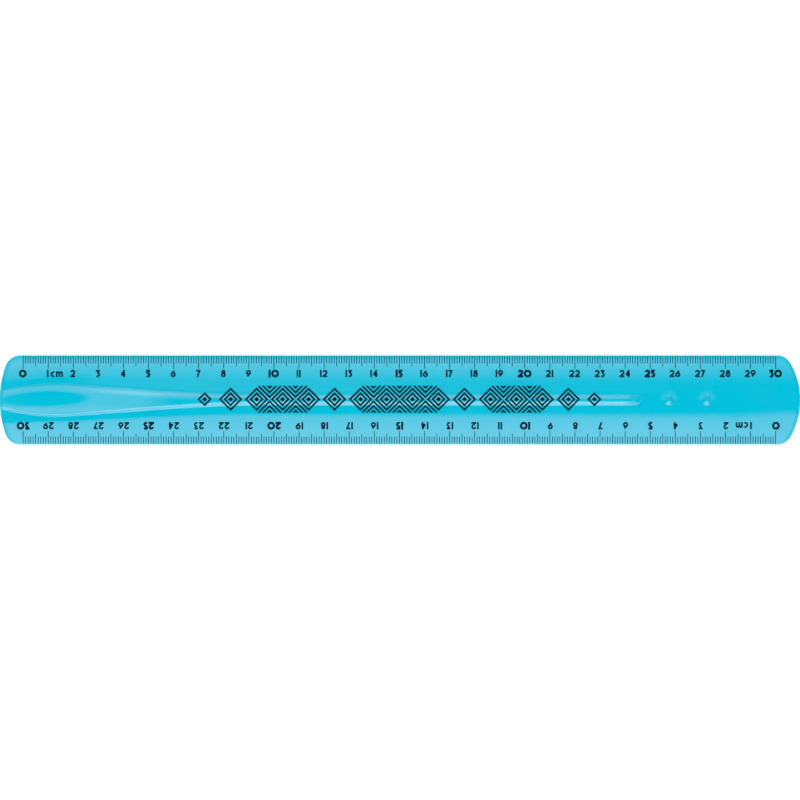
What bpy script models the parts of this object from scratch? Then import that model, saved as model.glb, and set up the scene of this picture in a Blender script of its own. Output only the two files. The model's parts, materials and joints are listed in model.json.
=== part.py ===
"""Flexible ruler, thirty centimetres long, moulded in soft translucent plastic.

The real blade is one moulding: a thicker body between two bevelled scale edges, a raised
spine that swells into a leaf-shaped pad with a shallow dish at the left end, and two
round studs beyond the spine's right end. Here it is made whole, trimmed to its outline,
and then divided at every five-millimetre mark of its scale, so that its soft flex can be
carried by hinges: the blade bends at each whole centimetre and twists at each half. The
slices are parented outwards from the middle one, and the origin of each lies on its hinge.

Metres, +X along the scale, +Z up, origin on the flat underside below the blade's centre.
"""

import math

import bmesh
import bpy

# Scale and outline
SCALE_LENGTH = 0.300
LEFT_MARGIN = 0.0093
RIGHT_MARGIN = 0.0098
BLADE_WIDTH = 0.0355
LEFT_END_RADIUS = 0.041
RIGHT_END_RADIUS = 0.030
CORNER_RADIUS = 0.0062

# Thickness across the blade, from the long edges to the body in the middle
EDGE_THICKNESS = 0.0012
CREASE_THICKNESS = 0.0021
BODY_THICKNESS = 0.0022
CREASE_FLANK = 0.0006
BODY_HALF_WIDTH = 0.0056
BODY_HALF_WIDTH_AT_PAD = 0.0084
BODY_HALF_WIDTH_AT_RIGHT_TIP = 0.0044
RIGHT_TAPER_LENGTH = 0.030

# Raised spine and the leaf-shaped pad at its left end
SPINE_WIDTH = 0.0046
SPINE_HEIGHT = 0.0009
SPINE_CREST_WIDTH = 0.0003
SPINE_END_MARGIN = 0.0552
PAD_WIDTH = 0.0128
PAD_WIDTH_AT_LEFT_TIP = 0.0070
PAD_WIDEST_FROM_TIP = 0.0236
PAD_LENGTH = 0.1033

# Shallow oval dish in the pad's top, whose long sides run out over the pad's shoulders
DISH_FROM_TIP = 0.0004
DISH_LENGTH = 0.0450
DISH_WIDTH = 0.0118
DISH_DEPTH = 0.0002

# Round studs in line with the spine
STUD_COUNT = 2
STUD_DIAMETER = 0.0046
STUD_FROM_SPINE = 0.0127
STUD_SPACING = 0.0150

# Division into slices
SLICE_COUNT = 60
SLICE_GAP = 0.0003

# How far trimming shapes run past what they trim, and how finely curves are drawn
TRIM_OVERRUN = 0.0020
SUNK_SHARE = 0.5
ROOT_ANGLE = math.radians(7)
ARC_STEPS = 6
ROUND_STEPS = 24
CROWN_STEPS = 8
CORNER_STEPS = 6
PAD_STEPS = 40
BODY_STEPS = 27
SMOOTH_ANGLE = math.radians(30)
FLAT_ANGLE = math.radians(0.02)
MERGE_DISTANCE = 0.00001

BLADE_LENGTH = LEFT_MARGIN + SCALE_LENGTH + RIGHT_MARGIN
LEFT_TIP_X = -BLADE_LENGTH / 2
RIGHT_TIP_X = BLADE_LENGTH / 2
ZERO_MARK_X = LEFT_TIP_X + LEFT_MARGIN
PAD_END_X = LEFT_TIP_X + PAD_LENGTH
SPINE_END_X = ZERO_MARK_X + SCALE_LENGTH - SPINE_END_MARGIN
SLICE_LENGTH = SCALE_LENGTH / SLICE_COUNT
MIDDLE_SLICE = SLICE_COUNT // 2 - 1
CREST_Z = BODY_THICKNESS + SPINE_HEIGHT
HINGE_Z = BODY_THICKNESS / 2


def clear_scene():
    """Remove every object that is already in the file."""
    for leftover in list(bpy.data.objects):
        bpy.data.objects.remove(leftover, do_unlink=True)


def make_blade_plastic():
    """Soft, glossy, translucent cyan plastic."""
    material = bpy.data.materials.new("blade_plastic")
    material.use_nodes = True
    shader = material.node_tree.nodes["Principled BSDF"]
    shader.inputs["Base Color"].default_value = (0.02, 0.50, 0.74, 1.0)
    shader.inputs["Roughness"].default_value = 0.18
    shader.inputs["Metallic"].default_value = 0.0
    shader.inputs["Transmission Weight"].default_value = 0.5
    shader.inputs["IOR"].default_value = 1.50
    return material


def eased(share):
    """Smooth fall from one to zero as the share runs from zero to one."""
    share = min(max(share, 0.0), 1.0)
    return (1.0 - share) ** 2 * (1.0 + 2.0 * share)


def spine_half_width(x):
    """Half the width of the raised spine and pad at a place along the blade."""
    widest_x = LEFT_TIP_X + PAD_WIDEST_FROM_TIP
    if x < widest_x:
        share = (x - LEFT_TIP_X) / PAD_WIDEST_FROM_TIP
        swell = math.sin(share * math.pi / 2)
        return (PAD_WIDTH_AT_LEFT_TIP + (PAD_WIDTH - PAD_WIDTH_AT_LEFT_TIP) * swell) / 2
    share = (x - widest_x) / (PAD_END_X - widest_x)
    return (SPINE_WIDTH + (PAD_WIDTH - SPINE_WIDTH) * eased(share)) / 2


def body_half_width(x):
    """Half the width of the thicker body, which follows the pad and narrows at the right tip."""
    pad_share = (2 * spine_half_width(x) - SPINE_WIDTH) / (PAD_WIDTH - SPINE_WIDTH)
    tip_share = eased((RIGHT_TIP_X - x) / RIGHT_TAPER_LENGTH)
    wider = (BODY_HALF_WIDTH_AT_PAD - BODY_HALF_WIDTH) * pad_share
    narrower = (BODY_HALF_WIDTH - BODY_HALF_WIDTH_AT_RIGHT_TIP) * tip_share
    return BODY_HALF_WIDTH + wider - narrower


def add_object(name, shape):
    """Turn a bmesh into a mesh object of the scene."""
    bmesh.ops.recalc_face_normals(shape, faces=shape.faces[:])
    mesh = bpy.data.meshes.new(name)
    shape.to_mesh(mesh)
    shape.free()
    solid = bpy.data.objects.new(name, mesh)
    bpy.context.collection.objects.link(solid)
    return solid


def add_rings(shape, rings):
    """Join matching closed rings of points by faces, and return their vertices."""
    loops = [[shape.verts.new(point) for point in ring] for ring in rings]
    for near, far in zip(loops, loops[1:]):
        for index in range(len(near)):
            ahead = (index + 1) % len(near)
            shape.faces.new((near[index], near[ahead], far[ahead], far[index]))
    return loops


def pad_stations(steps):
    """Places along the stretch of the blade that changes width with the pad."""
    start_x = LEFT_TIP_X - TRIM_OVERRUN
    step = (PAD_END_X - start_x) / steps
    return [start_x + step * index for index in range(steps + 1)]


def make_body():
    """The body and its two bevelled scale edges, longer and wider than the finished blade."""
    taper_x = RIGHT_TIP_X - RIGHT_TAPER_LENGTH
    stations = pad_stations(BODY_STEPS)
    stations += [taper_x + RIGHT_TAPER_LENGTH * step / CROWN_STEPS for step in range(CROWN_STEPS + 1)]
    stations.append(RIGHT_TIP_X + TRIM_OVERRUN)
    rings = []
    for x in stations:
        body_y = body_half_width(x)
        crease_y = body_y + CREASE_FLANK
        slope = (CREASE_THICKNESS - EDGE_THICKNESS) / (BLADE_WIDTH / 2 - crease_y)
        rim_y = BLADE_WIDTH / 2 + TRIM_OVERRUN
        rim_z = EDGE_THICKNESS - slope * TRIM_OVERRUN
        half = [(rim_y, 0.0), (rim_y, rim_z), (crease_y, CREASE_THICKNESS), (body_y, BODY_THICKNESS)]
        ring = [(x, y, z) for y, z in half]
        ring += [(x, -y, z) for y, z in reversed(half)]
        rings.append(ring)
    shape = bmesh.new()
    loops = add_rings(shape, rings)
    shape.faces.new(loops[0])
    shape.faces.new(loops[-1])
    bmesh.ops.triangulate(shape, faces=shape.faces[:])
    return add_object("blade_moulding", shape)


def raised_half_section(half_width, width_at_rib):
    """Half section of a raised form, from the centre line under the body's surface, out, up
    over an arched shoulder and back to the centre line at the crest, as (y, z) points."""
    shoulder = (width_at_rib - SPINE_CREST_WIDTH) / 2
    radius = (shoulder ** 2 + SPINE_HEIGHT ** 2) / (2 * SPINE_HEIGHT)
    low_angle = math.asin(shoulder / radius) + ROOT_ANGLE
    centre_y = half_width - shoulder
    centre_z = CREST_Z - radius
    low_z = BODY_THICKNESS * SUNK_SHARE
    points = [(0.0, low_z), (centre_y + radius * math.sin(low_angle), low_z)]
    for step in range(ARC_STEPS + 1):
        angle = low_angle * (1 - step / ARC_STEPS)
        points.append((centre_y + radius * math.sin(angle), centre_z + radius * math.cos(angle)))
    points.append((0.0, CREST_Z))
    return points


def make_spine():
    """The raised spine: lofted along the leaf-shaped pad and the rib, with a spun right end."""
    rib_end_x = SPINE_END_X - SPINE_WIDTH / 2
    rings = []
    for x in pad_stations(PAD_STEPS) + [rib_end_x]:
        half = raised_half_section(spine_half_width(x), SPINE_WIDTH)
        ring = [(x, -y, z) for y, z in half]
        ring += [(x, y, z) for y, z in reversed(half[1:-1])]
        rings.append(ring)
    shape = bmesh.new()
    loops = add_rings(shape, rings)
    shape.faces.new(loops[0])
    near_side = loops[-1][:len(half)]
    profile = near_side + [shape.edges.get(pair) for pair in zip(near_side, near_side[1:])]
    bmesh.ops.spin(shape, geom=profile, cent=(rib_end_x, 0.0, 0.0), axis=(0.0, 0.0, 1.0),
                   angle=math.pi, steps=ROUND_STEPS // 2, use_duplicate=False)
    bmesh.ops.remove_doubles(shape, verts=shape.verts[:], dist=MERGE_DISTANCE)
    bmesh.ops.triangulate(shape, faces=shape.faces[:])
    return add_object("spine_blank", shape)


def make_stud(number):
    """A round stud, the spine's section turned about its own upright axis."""
    centre_x = SPINE_END_X + STUD_FROM_SPINE + STUD_SPACING * number
    half = raised_half_section(STUD_DIAMETER / 2, STUD_DIAMETER)
    shape = bmesh.new()
    profile = [shape.verts.new((centre_x, -y, z)) for y, z in half]
    profile += [shape.edges.new(pair) for pair in zip(profile, profile[1:])]
    bmesh.ops.spin(shape, geom=profile, cent=(centre_x, 0.0, 0.0), axis=(0.0, 0.0, 1.0),
                   angle=2 * math.pi, steps=ROUND_STEPS, use_duplicate=False)
    bmesh.ops.remove_doubles(shape, verts=shape.verts[:], dist=MERGE_DISTANCE)
    bmesh.ops.triangulate(shape, faces=shape.faces[:])
    return add_object(f"stud_blank_{number + 1}", shape)


def half_end_outline(tip_x, inward, radius):
    """Half the outline of one end in plan, from its tip along the crown arc and the corner arc
    to the long edge. Inward is one for the left end and minus one for the right."""
    corner_y = BLADE_WIDTH / 2 - CORNER_RADIUS
    reach = radius - CORNER_RADIUS
    lean = math.asin(corner_y / reach)
    corner_x = radius - reach * math.cos(lean)
    points = []
    for step in range(CROWN_STEPS):
        angle = lean * step / CROWN_STEPS
        points.append((radius - radius * math.cos(angle), radius * math.sin(angle)))
    for step in range(CORNER_STEPS + 1):
        angle = lean + (math.pi / 2 - lean) * step / CORNER_STEPS
        points.append((corner_x - CORNER_RADIUS * math.cos(angle),
                       corner_y + CORNER_RADIUS * math.sin(angle)))
    return [(tip_x + inward * x, y) for x, y in points]


def extruded(name, outline, low_z, high_z):
    """A flat outline in plan, extruded upwards."""
    shape = bmesh.new()
    floor = shape.faces.new([shape.verts.new((x, y, low_z)) for x, y in outline])
    raised = bmesh.ops.extrude_face_region(shape, geom=[floor])
    lifted = [item for item in raised["geom"] if isinstance(item, bmesh.types.BMVert)]
    bmesh.ops.translate(shape, verts=lifted, vec=(0.0, 0.0, high_z - low_z))
    return add_object(name, shape)


def make_outline():
    """The blade's outline in plan as a tall trimming shape."""
    left = half_end_outline(LEFT_TIP_X, 1, LEFT_END_RADIUS)
    right = half_end_outline(RIGHT_TIP_X, -1, RIGHT_END_RADIUS)
    far_side = left + right[::-1]
    near_side = [(x, -y) for x, y in far_side[1:-1]]
    outline = far_side + near_side[::-1]
    return extruded("outline_trim", outline, -TRIM_OVERRUN, CREST_Z + TRIM_OVERRUN)


def make_dish():
    """The oval that is sunk into the pad's top, where a thumb rests."""
    centre_x = LEFT_TIP_X + DISH_FROM_TIP + DISH_LENGTH / 2
    outline = []
    for step in range(2 * ROUND_STEPS):
        angle = math.pi * (step + 0.5) / ROUND_STEPS
        outline.append((centre_x + DISH_LENGTH / 2 * math.cos(angle), DISH_WIDTH / 2 * math.sin(angle)))
    return extruded("dish_trim", outline, CREST_Z - DISH_DEPTH, CREST_Z + TRIM_OVERRUN)


def in_order_of_place(mesh):
    """Copy a mesh with its points and faces sorted by place, so that what is made from it is
    the same in each run, and merge points that all but meet."""
    order = sorted(mesh.vertices, key=lambda vertex: tuple(vertex.co))
    rank = {vertex.index: place for place, vertex in enumerate(order)}
    faces = []
    for polygon in mesh.polygons:
        corners = [rank[corner] for corner in polygon.vertices]
        first = corners.index(min(corners))
        faces.append(corners[first:] + corners[:first])
    tidy = bpy.data.meshes.new(mesh.name)
    tidy.from_pydata([vertex.co for vertex in order], [], sorted(faces))
    shape = bmesh.new()
    shape.from_mesh(tidy)
    bmesh.ops.triangulate(shape, faces=shape.faces[:])
    bmesh.ops.remove_doubles(shape, verts=shape.verts[:], dist=MERGE_DISTANCE)
    shape.to_mesh(tidy)
    shape.free()
    return tidy


def make_moulding():
    """The whole blade in one piece: body, spine and studs, less the dish, trimmed to outline."""
    moulding = make_body()
    studs = [make_stud(number) for number in range(STUD_COUNT)]
    steps = [("UNION", blank) for blank in [make_spine()] + studs]
    steps += [("DIFFERENCE", make_dish()), ("INTERSECT", make_outline())]
    for operation, tool in steps:
        tool.hide_render = True
        tool.display_type = "WIRE"
        boolean = moulding.modifiers.new(tool.name, "BOOLEAN")
        boolean.operation = operation
        boolean.solver = "EXACT"
        boolean.object = tool
    finished = moulding.evaluated_get(bpy.context.evaluated_depsgraph_get())
    blade = in_order_of_place(bpy.data.meshes.new_from_object(finished))
    for spent in [moulding] + [tool for operation, tool in steps]:
        bpy.data.objects.remove(spent, do_unlink=True)
    return blade


def slice_name(index):
    """The two ends by name, and the others by the half centimetre of the scale they hold."""
    if index == 0:
        return "blade_left_end"
    if index == SLICE_COUNT - 1:
        return "blade_right_end"
    return f"blade_cm_{index // 2 + 1:02d}{'ab'[index % 2]}"


def cut_mesh(blade, name, low_x, high_x):
    """Copy the blade's mesh and keep what lies between two upright planes, each closed by a face."""
    shape = bmesh.new()
    shape.from_mesh(blade)
    for plane_x, outward in ((low_x, -1.0), (high_x, 1.0)):
        everything = shape.verts[:] + shape.edges[:] + shape.faces[:]
        cut = bmesh.ops.bisect_plane(shape, geom=everything, plane_co=(plane_x, 0.0, 0.0),
                                     plane_no=(outward, 0.0, 0.0), clear_outer=True)
        rim = [item for item in cut["geom_cut"] if isinstance(item, bmesh.types.BMEdge)]
        if rim:
            bmesh.ops.edgeloop_fill(shape, edges=rim)
    bmesh.ops.remove_doubles(shape, verts=shape.verts[:], dist=MERGE_DISTANCE)
    bmesh.ops.dissolve_limit(shape, angle_limit=FLAT_ANGLE, verts=shape.verts[:], edges=shape.edges[:])
    bmesh.ops.recalc_face_normals(shape, faces=shape.faces[:])
    mesh = bpy.data.meshes.new(name)
    shape.to_mesh(mesh)
    shape.free()
    mesh.shade_smooth()
    mesh.set_sharp_from_angle(angle=SMOOTH_ANGLE)
    return mesh


def hinge_x(index):
    """The cut that joins a slice to its neighbour nearer the middle, or the middle slice's centre."""
    if index == MIDDLE_SLICE:
        return ZERO_MARK_X + SLICE_LENGTH * (index + 0.5)
    inner_cut = index if index > MIDDLE_SLICE else index + 1
    return ZERO_MARK_X + SLICE_LENGTH * inner_cut


def make_slices(blade, plastic):
    """Divide the blade and hang each slice on its neighbour nearer the middle."""
    slices = {}
    for index in sorted(range(SLICE_COUNT), key=lambda place: abs(place - MIDDLE_SLICE)):
        name = slice_name(index)
        low_x = ZERO_MARK_X + SLICE_LENGTH * index + SLICE_GAP / 2
        high_x = ZERO_MARK_X + SLICE_LENGTH * (index + 1) - SLICE_GAP / 2
        if index == 0:
            low_x = LEFT_TIP_X - TRIM_OVERRUN
        if index == SLICE_COUNT - 1:
            high_x = RIGHT_TIP_X + TRIM_OVERRUN
        mesh = cut_mesh(blade, name, low_x, high_x)
        mesh.materials.append(plastic)
        place_x = hinge_x(index)
        for vertex in mesh.vertices:
            vertex.co.x -= place_x
            vertex.co.z -= HINGE_Z
        piece = bpy.data.objects.new(name, mesh)
        bpy.context.collection.objects.link(piece)
        if index == MIDDLE_SLICE:
            piece.location = (place_x, 0.0, HINGE_Z)
        else:
            inner = index - 1 if index > MIDDLE_SLICE else index + 1
            piece.parent = slices[inner]
            piece.location = (place_x - hinge_x(inner), 0.0, 0.0)
        slices[index] = piece


def main():
    clear_scene()
    blade = make_moulding()
    make_slices(blade, make_blade_plastic())
    bpy.data.meshes.remove(blade)


main()
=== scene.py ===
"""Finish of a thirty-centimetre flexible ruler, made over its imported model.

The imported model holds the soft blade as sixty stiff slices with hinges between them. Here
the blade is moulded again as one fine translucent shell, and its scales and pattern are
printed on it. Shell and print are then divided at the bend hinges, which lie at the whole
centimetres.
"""

import contextlib
import json
import math

import bmesh
import bpy
import numpy as np
from bpy.props import (FloatProperty, FloatVectorProperty, IntProperty, PointerProperty,
                       StringProperty)
from mathutils import Matrix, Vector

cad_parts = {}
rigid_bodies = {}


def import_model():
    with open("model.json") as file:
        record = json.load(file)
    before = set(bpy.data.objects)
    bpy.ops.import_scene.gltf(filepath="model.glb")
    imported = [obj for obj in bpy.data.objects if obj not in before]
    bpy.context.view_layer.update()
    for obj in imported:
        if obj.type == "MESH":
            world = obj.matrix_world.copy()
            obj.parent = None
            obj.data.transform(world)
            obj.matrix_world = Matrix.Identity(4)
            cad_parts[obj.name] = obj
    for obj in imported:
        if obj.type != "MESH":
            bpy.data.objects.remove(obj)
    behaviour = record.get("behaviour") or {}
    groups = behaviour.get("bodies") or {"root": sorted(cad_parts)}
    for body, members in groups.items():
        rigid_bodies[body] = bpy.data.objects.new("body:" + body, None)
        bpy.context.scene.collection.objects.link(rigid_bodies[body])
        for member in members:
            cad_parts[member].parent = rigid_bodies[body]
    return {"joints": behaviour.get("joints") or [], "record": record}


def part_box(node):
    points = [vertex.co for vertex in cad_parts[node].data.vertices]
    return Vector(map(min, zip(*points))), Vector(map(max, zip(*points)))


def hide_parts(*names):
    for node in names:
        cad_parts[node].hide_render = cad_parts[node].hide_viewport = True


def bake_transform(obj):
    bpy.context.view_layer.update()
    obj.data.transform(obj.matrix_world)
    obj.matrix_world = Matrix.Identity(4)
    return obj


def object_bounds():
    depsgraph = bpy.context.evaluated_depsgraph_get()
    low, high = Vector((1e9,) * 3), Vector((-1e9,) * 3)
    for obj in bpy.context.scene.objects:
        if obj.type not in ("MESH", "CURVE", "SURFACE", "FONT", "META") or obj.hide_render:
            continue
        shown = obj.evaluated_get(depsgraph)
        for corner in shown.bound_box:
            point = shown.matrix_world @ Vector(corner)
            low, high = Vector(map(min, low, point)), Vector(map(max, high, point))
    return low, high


bl_info = {
    "name": "Flexible Ruler",
    "version": (1, 0, 0),
    "blender": (4, 5, 0),
    "location": "View3D > Sidebar > Ruler",
    "description": "Moulds, prints and lights a soft translucent ruler over its packed model",
    "category": "Object",
}

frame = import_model()
LOW_CORNER, HIGH_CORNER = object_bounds()
BODY_NODES = frame["record"]["behaviour"]["bodies"]

MILLIMETRE = 0.001

# How finely forms are drawn, and how close two places count as one
STATIONS_PER_PITCH = 6
STATIONS_OVER_STUD = 26
STATIONS_OVER_TIP = 22
TIP_CROWDING = 1.9
TIP_PASSES = 12
FLAT_ROWS = 20
SHOULDER_ROWS = 14
BODY_ROWS = 6
BEVEL_ROWS = 8
CORNER_ANGLES = range(40, 90, 8)
RIM_SHARES = (0.8, 0.55, 0.35, 0.2, 0.08, 0.02, 0.0)
TURN_STEPS = 40
BAND_CUTS = 20
MERGE_DISTANCE = 0.00001
SEAM_TOLERANCE = 0.000001

# Powers that shape how the pad's sides draw in to the rib
PAD_ROUNDNESS = 1.2
PAD_TAPER = 1.75

# How many twist hinges, from the left tip, have their turn counted from the right
COUNTED_FROM_RIGHT = 5

# Height in the sky, as a share of straight up, where the overhead light begins and is full
OVERHEAD_FROM = 0.86
OVERHEAD_FULL = 0.96


def length(name, description, default):
    """A length setting, in metres."""
    return FloatProperty(name=name, description=description, default=default, unit="LENGTH",
                         precision=5)


def share(name, description, default):
    """A setting that is a share, from zero to one."""
    return FloatProperty(name=name, description=description, default=default, min=0.0, max=1.0,
                         subtype="FACTOR")


def colour(name, description, default):
    """A colour setting, as linear red, green and blue."""
    return FloatVectorProperty(name=name, description=description, default=default, size=3,
                               min=0.0, max=1.0, subtype="COLOR")


class RulerBladeShape(bpy.types.PropertyGroup):
    """Sizes of the moulded blade."""

    left_end_radius: length("Left end radius", "Crown radius of the left end", 0.041)
    right_end_radius: length("Right end radius", "Crown radius of the right end", 0.030)
    corner_radius: length("Corner radius", "Radius between an end and a long edge", 0.0062)
    rim_radius: length("Rim radius", "Rounding of the rim, above and below", 0.0003)
    edge_thickness: length("Edge thickness", "Thickness at the long edges", 0.0012)
    crease_thickness: length("Crease thickness", "Thickness where a bevel begins", 0.0021)
    body_thickness: length("Body thickness", "Thickness beside the spine", 0.0022)
    crease_flank: length("Crease flank", "Width of the step from body to bevel", 0.0010)
    body_half_width: length("Body half width", "From the centre line to a bevel", 0.0056)
    body_at_pad: length("Body half width at pad", "The same beside the pad", 0.0084)
    body_at_right_tip: length("Body half width at right tip", "The same at the right tip", 0.0044)
    right_taper: length("Right taper", "Length over which the body narrows", 0.030)
    spine_width: length("Spine width", "Width of the raised rib", 0.0046)
    spine_height: length("Spine height", "Height of the rib, pad and studs", 0.0009)
    crest_width: length("Crest width", "Width of the rib's flat top", 0.0010)
    spine_end_margin: length("Spine end margin", "From the rib's end to the last mark", 0.0552)
    pad_width: length("Pad width", "Widest place of the leaf-shaped pad", 0.0136)
    pad_shoulder: length("Pad shoulder", "Width of the pad's side at its widest place", 0.0013)
    pad_crown: length("Pad crown", "How far the pad's top falls from its middle to its foot", 0.0004)
    pad_at_left_tip: length("Pad width at left tip", "Width of the pad at the tip", 0.0078)
    pad_widest: length("Pad widest place", "From the left tip to the widest place", 0.0236)
    pad_length: length("Pad length", "From the left tip to where the rib begins", 0.1033)
    dish_from_tip: length("Dish from tip", "From the left tip to the thumb dish", 0.0004)
    dish_length: length("Dish length", "Length of the shallow thumb dish", 0.0450)
    dish_width: length("Dish width", "Width of the shallow thumb dish", 0.0118)
    dish_depth: length("Dish depth", "Depth of the thumb dish", 0.00015)
    dish_flank: length("Dish flank", "Width of the slope round the thumb dish", 0.0007)
    end_stretch: share("End stretch", "Width of the rib's round end over its length", 0.50)
    stud_count: IntProperty(name="Studs", description="Number of round studs", default=2)
    stud_from_spine: length("Stud from spine", "From the rib's end to the first stud", 0.0127)
    stud_spacing: length("Stud spacing", "From stud to stud", 0.0150)


class RulerPlasticFinish(bpy.types.PropertyGroup):
    """Colour and gloss of the soft plastic, and the painted highlights, reflections and shade laid
    on it.
    """

    deep: colour("Deep colour", "Where the plastic is thick and clear", (0.0, 0.622, 0.815))
    # The pale colour serves the thin bevels and also the painted highlights and painted reflections
    pale: colour("Pale colour", "Where the plastic is thin or dull", (0.32, 0.78, 0.97))
    bright: colour("Bright colour", "Where a raised side catches the light", (0.16, 0.92, 1.0))
    bright_from: share("Bright from", "Paleness above which the bright colour comes in", 0.52)
    clearness: share("Clearness", "Share of light that passes through", 0.35)
    roughness: share("Roughness", "Roughness of the glossy skin", 0.22)
    # Bevel paleness: thin plastic, with a painted reflection that makes the near bevel paler than
    # the far one
    near_paleness: share("Near paleness", "Paleness of the near bevel at its rim", 0.55)
    far_paleness: share("Far paleness", "Paleness of the far bevel near its marks", 0.39)
    # Painted reflection on the body behind the spine
    body_paleness: share("Body paleness", "Paleness of the body behind the spine", 0.08)
    # Painted reflection on the pad's crown and on the dish's slopes
    pad_paleness: share("Pad paleness", "Paleness of the pad's crown", 0.26)
    dish_paleness: share("Dish paleness", "Paleness of the dish's slopes", 0.30)
    # Painted highlight lines along the shoulders of rib and pad
    near_line_paleness: share("Near line paleness", "Added paleness of the near shoulder", 0.74)
    far_line_paleness: share("Far line paleness", "Added paleness of the far shoulder", 0.60)
    # Painted highlight bands along the pad's far and near sides
    crown_paleness: share("Crown paleness", "Added paleness along the pad's far side", 0.47)
    thumb_paleness: share("Thumb paleness", "Added paleness along the pad's near side", 0.17)
    # Painted highlights: a ring behind each stud and a dot on its near side
    halo_paleness: share("Halo paleness", "Paleness behind a stud", 0.12)
    stud_paleness: share("Stud paleness", "Paleness of a stud's near side", 0.55)
    # Painted highlight along the near edge
    edge_paleness: share("Edge paleness", "Added paleness along the near edge", 0.30)
    # Painted dark line along the tips and the far rim, and its width
    rim_clearness: share("Rim clearness", "Paleness taken away at the tips and the far rim", 0.88)
    rim_width: length("Rim width", "Width of the clear rim", 0.0022)
    skin_grain: length("Skin grain", "Size of the skin's faint unevenness", 0.0012)


class RulerPrintShape(bpy.types.PropertyGroup):
    """Sizes of the printed scales and their numbers."""

    centimetres: IntProperty(name="Centimetres", description="Length of the scale", default=30)
    mark_width: length("Mark width", "Width of a printed line", 0.00028)
    mark_start: length("Mark start", "From the rim to where the marks begin", 0.00025)
    millimetre_mark: length("Millimetre mark", "Where a millimetre mark ends", 0.0032)
    half_mark: length("Half centimetre mark", "Where a half centimetre mark ends", 0.0043)
    whole_mark: length("Centimetre mark", "Where a centimetre mark ends", 0.0053)
    number_row: length("Number row", "From the rim to the middle of the numbers", 0.0072)
    number_height: length("Number height", "Height of a plain number", 0.0029)
    pen_width: length("Pen width", "Line width of a plain number", 0.00067)
    bold_height: length("Bold height", "Height of every fifth number", 0.0031)
    bold_pen_width: length("Bold pen width", "Line width of every fifth number", 0.00087)
    gap: length("Gap", "Space between two digits", 0.00030)
    bold_gap: length("Bold gap", "Space between two bold digits", 0.00018)
    lower_shift: length("Lower shift", "How much further in the lower numbers stand", 0.0003)
    unit_height: length("Unit height", "Height of the letters of the unit", 0.0023)
    unit_gap: length("Unit gap", "Space between the one and the unit", 0.00080)
    film_lift: length("Film lift", "Height of the ink above the plastic", 0.00003)
    ink: colour("Ink", "Colour of the ink", (0.0, 0.0055, 0.0150))


class RulerBandShape(bpy.types.PropertyGroup):
    """Sizes of the printed pattern along the spine."""

    start: length("Start", "Left end of the pattern, along the blade", -0.0830)
    cell_length: length("Cell length", "Length of one cell", 0.01035)
    layout: StringProperty(name="Layout", description="Cells from left to right: s and m stand "
                           "for a small and a middling diamond, and f for a filled cell",
                           default="smfffmffffmfffms")
    height: length("Height", "Height of the pattern across the blade", 0.0108)
    middle: length("Middle", "Middle of the pattern across the blade", 0.0003)
    line: length("Line", "Line width across a diamond's side", 0.00072)
    pitch: length("Pitch", "From one diamond to the next round it", 0.00130)


class RulerStudio(bpy.types.PropertyGroup):
    """Camera, lamps and background."""

    view_width: length("View width", "Width that the picture shows", 0.3192)
    lens: FloatProperty(name="Lens", description="Focal length", default=200.0, unit="CAMERA")
    lamp_distance: length("Lamp distance", "From the ruler to each lamp", 2.5)
    lamp_width: length("Lamp width", "Width of each lamp", 2.3)
    lamp_height: length("Lamp height", "Height of each lamp", 2.0)
    lamp_elevation: FloatProperty(name="Lamp elevation", description="Height above the horizon",
                                  default=math.radians(42), subtype="ANGLE")
    near_lamp: FloatProperty(name="Near lamp", description="Power of the lamp in front",
                             default=59.0, unit="POWER")
    far_lamp: FloatProperty(name="Far lamp", description="Power of the lamp behind",
                            default=50.0, unit="POWER")
    daylight: share("Daylight", "Even light from all round", 0.14)
    overhead: share("Overhead light", "The same straight from above, where the camera hangs", 0.0)
    floor_size: length("Floor size", "Side of the floor", 12.0)
    floor_drop: length("Floor drop", "From the blade's underside to the floor", 0.0001)
    floor_colour: share("Floor colour", "Grey value of the floor", 0.35)
    floor_lift: share("Floor lift", "Light added so that the open floor is white", 0.70)


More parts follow.
